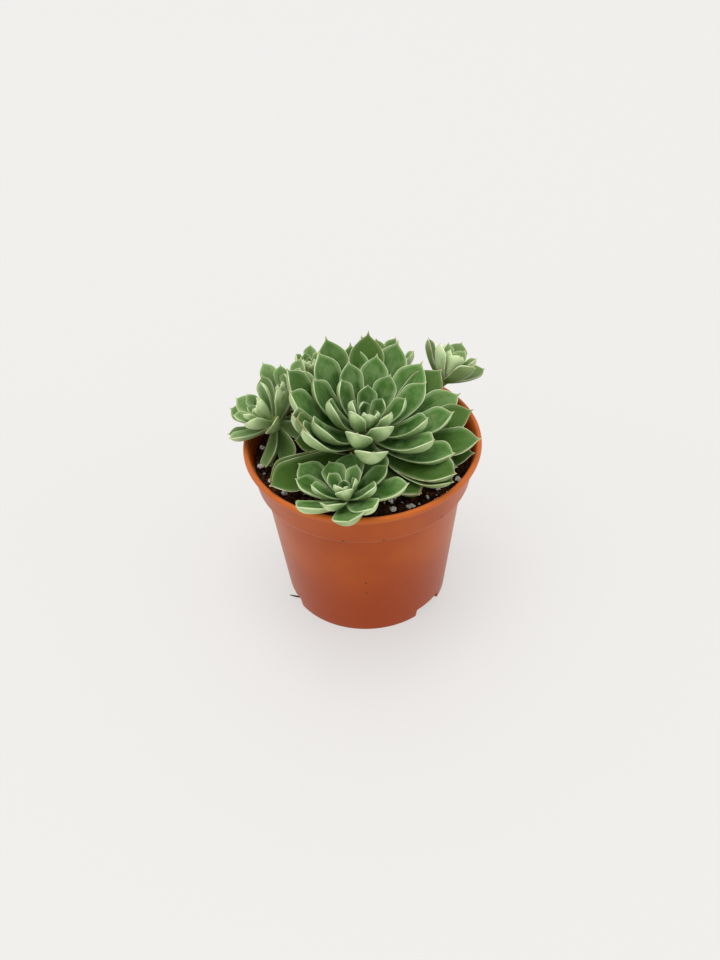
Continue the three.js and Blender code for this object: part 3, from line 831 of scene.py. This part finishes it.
def distanceToCourse(course, points):
    places, radii = course
    nearest = np.full(len(points), np.inf)
    for start, end, radius in zip(places, places[1:], np.maximum(radii[:-1], radii[1:])):
        way = end - start
        share = np.clip((points - start) @ way / (way @ way), 0, 1)
        gap = np.linalg.norm(points - start - share[:, None] * way, axis=-1) - radius
        nearest = np.minimum(nearest, gap)
    return nearest


testStations = np.repeat([0.2, 0.34, 0.48, 0.6, 0.7, 0.8, 0.88, 0.95, 1], 8)
testAcross = np.tile([-1, -0.5, 0, 0.5, 1, -0.5, 0, 0.5], 9)
testUpper = np.tile([1, 1, 1, 1, 1, 0, 0, 0], 9)


def clearsPot(points):
    # Over the soil inside, over the rim above it, and outside a cone that falls away
    radius = np.hypot(points[:, 0], points[:, 1])
    inner = potForm["collarTopRadius"] - potForm["wall"] - 1
    floor = np.where(radius > inner, potHeight + room["rim"],
                     soilHeight(points[:, 0], points[:, 1]) + room["soil"])
    floor = np.where(radius > rimRadius + 1.5, potHeight - 2 * (radius - rimRadius), floor)
    return bool((points[:, 2] > floor).all())


def bendsInOrder():
    # The ways a leaf may give way (lift, turn, size), the slightest first
    ways = [(lift, turn, size) for lift in (0, 6, 12, 18, -6, -12)
            for turn in (0, 6, -6, 12, -12, 20, -20) for size in (1, 0.85, 0.7, 0.55)]
    return sorted(ways, key=lambda way: 2 * abs(way[0]) + 0.8 * abs(way[1]) + 50 * (1 - way[2]))


def placeLeaves():
    # Each leaf takes the slightest bend that clears the pot, the soil, the other
    # rosettes' stems and the leaves that stand already; where none does, it is left out
    courses = {name: stemCourse(head) for name, head in rosettes.items()}
    standing = {name: [] for name in rosettes}
    bends = bendsInOrder()
    for name, head in rosettes.items():
        others = [leaf for other, leaves in standing.items() if other != name for leaf in leaves]
        stacked = {}
        if others:
            for key in ("base", "along", "across", "up", "length", "width", "thick", "curl", "cup"):
                stacked[key] = np.stack([np.atleast_1d(leaf[key]) for leaf in others])
            for key in ("base", "along", "across", "up"):
                stacked[key] = stacked[key][:, None]
            stacked["points"] = np.stack([leaf["points"] for leaf in others])
            stacked["middle"] = np.stack([leaf["middle"] for leaf in others])

        def isClear(leaf):
            points = leaf["points"]
            if not clearsPot(points):
                return False
            if any((distanceToCourse(courses[other], points) <= room["stem"]).any()
                   for other in rosettes if other != name):
                return False
            if not others:
                return True
            reach = (stacked["length"][:, 0] + leaf["length"]) / 2 + 12
            near = np.linalg.norm(stacked["middle"] - leaf["middle"], axis=1) <= reach
            group = {key: values[near] for key, values in stacked.items()}
            return not (isInLeaf(group, points, room["leaf"]).any()
                        or isInLeaf(leaf, group["points"], room["leaf"]).any())

        for index in range(head["count"]):
            for bend in bends:
                leaf = spiralLeaf(head, index, bend)
                leaf["points"] = leafPoints(leaf, testStations, testAcross, testUpper)
                if isClear(leaf):
                    standing[name].append(leaf)
                    break
    return standing


def leafSkins(leaves, stations, around):
    # All the leaves' skins in one set of points: rows run from base to tip, closer
    # together near the tip, and columns run round from one margin over the upper face
    # to the other margin and back under the lower face
    s = np.interp(np.linspace(0, 1, stations), [0, 0.4, 0.8, 1], [0, 0.6, 0.955, 1])[:-1]
    turn = np.linspace(0, 2 * np.pi, around, endpoint=False)
    stationGrid, turnGrid = np.meshgrid(s, turn, indexing="ij")
    across, upper = np.cos(turnGrid), (np.sin(turnGrid) > -1e-9).astype(float)
    face = np.where(np.abs(np.sin(turnGrid)) < 1e-9, 0.5, upper)
    tip = np.array([1.0]), np.array([0.0]), np.array([1.0])
    base = np.array([0.0]), np.array([0.0]), np.array([0.0])
    rows, size = len(s), len(s) * around + 2
    quads = gridFaces(rows, around)
    fans = np.vstack([fanFaces(np.arange(around), size - 2, True),
                      fanFaces(np.arange(around) + (rows - 1) * around, size - 1, False)])
    starts = np.arange(len(leaves))[:, None, None] * size
    points = [np.vstack([leafPoints(leaf, stationGrid, across, upper).reshape(-1, 3),
                         leafPoints(leaf, *base), leafPoints(leaf, *tip)]) for leaf in leaves]
    edges = [np.append((1 - np.abs(across)) * leaf["width"] / 2 * halfWidth(stationGrid), (9, 0))
             for leaf in leaves]
    facts = {
        "along": np.tile(np.append(stationGrid, (0, 1)), len(leaves)),
        "across": np.tile(np.append(across, (0, 0)), len(leaves)),
        "face": np.tile(np.append(face, (0, 1)), len(leaves)),
        "edge": np.concatenate(edges),
        **{fact: np.repeat([leaf[fact] for leaf in leaves], size) for fact in ("age", "tone", "pale")}}
    return np.vstack(points), (quads + starts).reshape(-1, 4), (fans + starts).reshape(-1, 3), facts


leafLook = {
    # The first colour, a deep green, is painted shade for the leaves' bases
    "baseShade": paint(28, 68, 14), "blade": paint(88, 130, 60), "bloom": paint(166, 192, 134),
    "back": paint(134, 162, 94), "backBloom": paint(198, 216, 166),
    "margin": paint(238, 244, 206), "tip": paint(206, 164, 122), "brown": paint(120, 74, 44),
    # The olive colour is partly a tint of age and partly painted shade on the lowest leaves
    "shadedOlive": paint(60, 80, 24), "rust": paint(160, 88, 48),
}


def leafFinish(wire):
    # Waxy flesh: green that painted shade deepens towards each leaf's base and that pales
    # towards the margin and the tip, under a thin bloom with fine lengthwise streaks; pale
    # bloomy backs with a painted highlight along the keel; a crisp cream margin; and the
    # oldest leaves darker and olive, partly from age and partly painted shade, with rusty edges
    look = leafLook
    along, across, edge = wire.fact("along"), wire.fact("across"), wire.fact("edge")
    face, age, tone, pale = (wire.fact(name) for name in ("face", "age", "tone", "pale"))
    where = wire.place()
    patches = wire.noise(where, 150, 3, 0.55)
    fine = wire.noise(where, 900, 3, 0.6)
    lengthwise = wire.node("ShaderNodeCombineXYZ", {}, {
        0: along * 1.6 + tone * 7, 1: across * 9, 2: age * 5})
    streaks = wire.noise(lengthwise, 2.4, 3, 0.55)
    old = wire.step(age + 0.1 * tone, 0.62, 0.98)
    nearEdge = wire.step(edge, 0.2, 2.8, 1, 0)
    clearOfBaseShade = wire.step(along + 0.25 * streaks, 0.4, 1.1)
    # Painted shade: each leaf's green darkens towards its base
    blade = wire.blend(clearOfBaseShade * 0.75 + 0.16 * tone, look["baseShade"], look["blade"])
    dull = wire.step(patches + 0.4 * streaks, 0.55, 0.9) * (1 - 0.6 * old)
    waxed = nearEdge * 0.5 + 0.26 * dull + 0.5 * pale
    upper = wire.blend(waxed, blade, look["bloom"])
    # Painted highlight: a paler band down the keel of the lower face, in the bloom colour
    keel = wire.step(across * across, 0.02, 0.5, 0.45, 0)
    bloomAndKeelHighlight = wire.step(streaks + 0.5 * patches + 0.3 * clearOfBaseShade, 0.6, 1.1) * 0.6 + keel + 0.45 * pale
    lower = wire.blend(bloomAndKeelHighlight * (1 - 0.7 * old), look["back"], look["backBloom"])
    leaf = wire.blend(face, lower, upper)
    # The oldest leaves turn olive and darker: partly a tint of age, partly painted shade where they lie low
    # under the others
    agedAndShaded = wire.blend(old * 0.55, leaf, look["shadedOlive"])
    rim = wire.step(edge + 0.1 * fine, 0.14, 0.48, 1, 0)
    rusty = old * wire.step(wire.noise(where, 120, 2), 0.38, 0.62)
    edged = wire.blend(rim * 0.75, agedAndShaded, wire.blend(rusty * 0.7, look["margin"], look["rust"]))
    tipShare = wire.step(along, 0.955, 0.985)
    tipped = wire.blend(tipShare * 0.7, edged, look["tip"])
    coloured = wire.blend(wire.step(along + 0.012 * old, 0.996, 1.01), tipped, look["brown"])
    grain = wire.bump(fine * 0.5 + streaks * 0.8, 0.2, 0.0004)
    return {"Base Color": coloured, "Roughness": 0.4 + 0.25 * waxed, "Normal": grain}


leafFlesh = finishOf("leafFlesh", leafFinish, {
    "Specular IOR Level": 0.35, "Specular Tint": (0.7, 1.0, 0.45, 1.0),
    "Subsurface Weight": 0.1, "Subsurface Radius": (0.004, 0.008, 0.002), "Subsurface Scale": 0.3})

standing = placeLeaves()
for rosetteName, leaves in standing.items():
    parts = leafSkins(leaves, leafForm["stations"], leafForm["around"])
    settle(makePiece(rosetteName + "_leaves", *parts), "leaf", leafFlesh, rosetteName)
    print(rosetteName, "has", len(leaves), "leaves")


# Stems


def stemSkin(course, form):
    # A circle carried along a smooth curve through the course, with low rings where
    # leaves have fallen
    places, radii = course
    knots = np.linspace(0, 1, len(places))
    share = np.linspace(0, 1, form["steps"])
    path = np.stack([smoothThrough(knots, places[:, axis], share) for axis in range(3)], 1)
    radius = np.interp(share, knots, radii) * (1 + form["scar"] * np.sin(share * form["scarTurns"]))
    along = np.gradient(path, axis=0)
    along /= np.linalg.norm(along, axis=1, keepdims=True)
    east = np.cross([0, 1, 0], along)
    east /= np.linalg.norm(east, axis=1, keepdims=True)
    north = np.cross(along, east)
    turn = np.linspace(0, 2 * np.pi, form["around"], endpoint=False)[:, None]
    ring = east[:, None] * np.cos(turn) + north[:, None] * np.sin(turn)
    grid = path[:, None] + ring * radius[:, None, None]
    points = np.vstack([grid.reshape(-1, 3), path[0], path[-1] + along[-1] * radius[-1] * 0.5])
    rows, columns = grid.shape[:2]
    fans = np.vstack([fanFaces(np.arange(columns), len(points) - 2, True),
                      fanFaces(np.arange(columns) + (rows - 1) * columns, len(points) - 1, False)])
    return points, gridFaces(rows, columns), fans


def smoothThrough(knots, values, share):
    # A cubic through the knots whose slope at each is that between its neighbours
    slopes = np.gradient(values, knots)
    place = np.clip(np.searchsorted(knots, share, side="right") - 1, 0, len(knots) - 2)
    span = knots[place + 1] - knots[place]
    u = (share - knots[place]) / span
    return ((2 * u**3 - 3 * u**2 + 1) * values[place] + (u**3 - 2 * u**2 + u) * span * slopes[place]
            + (3 * u**2 - 2 * u**3) * values[place + 1] + (u**3 - u**2) * span * slopes[place + 1])


def makeStems():
    points, quads, fans, start = [], [], [], 0
    for head in rosettes.values():
        skin = stemSkin(stemCourse(head), stemForm)
        points.append(skin[0])
        quads.append(skin[1] + start)
        fans.append(skin[2] + start)
        start += len(skin[0])
    return makePiece("stems", np.vstack(points), np.vstack(quads), np.vstack(fans))


stemLook = {"green": paint(138, 146, 60), "bark": paint(128, 104, 62)}


def stemFinish(wire):
    # Smooth yellowish-green skin, browner in patches
    where = wire.place()
    patch = wire.step(wire.noise(where, 240, 3, 0.6), 0.5, 0.75)
    return {"Base Color": wire.blend(patch * 0.6, stemLook["green"], stemLook["bark"]),
            "Normal": wire.bump(wire.noise(where, 1800, 3), 0.3, 0.0004)}


stemSkinFinish = finishOf("stemSkin", stemFinish, {"Roughness": 0.6, "Specular IOR Level": 0.35})
settle(makeStems(), "leaf", stemSkinFinish)


# Root tip

rootForm = {
    # A thin dead root that comes out of the left notch and lies on the floor
    "course": ((-31, -17.5, 2.4), (-35.5, -16.2, 1.2), (-38.5, -14.8, 0.6), (-41.5, -14, 0.9)),
    "radii": (0.5, 0.45, 0.45, 0.2), "colour": paint(52, 40, 26),
}
rootCourse = np.array(rootForm["course"], float), np.array(rootForm["radii"])
rootSkin = finishOf("rootSkin", lambda wire: {}, {"Base Color": rootForm["colour"], "Roughness": 0.8})
settle(makePiece("root_tip", *stemSkin(rootCourse, stemForm)), "leaf", rootSkin)
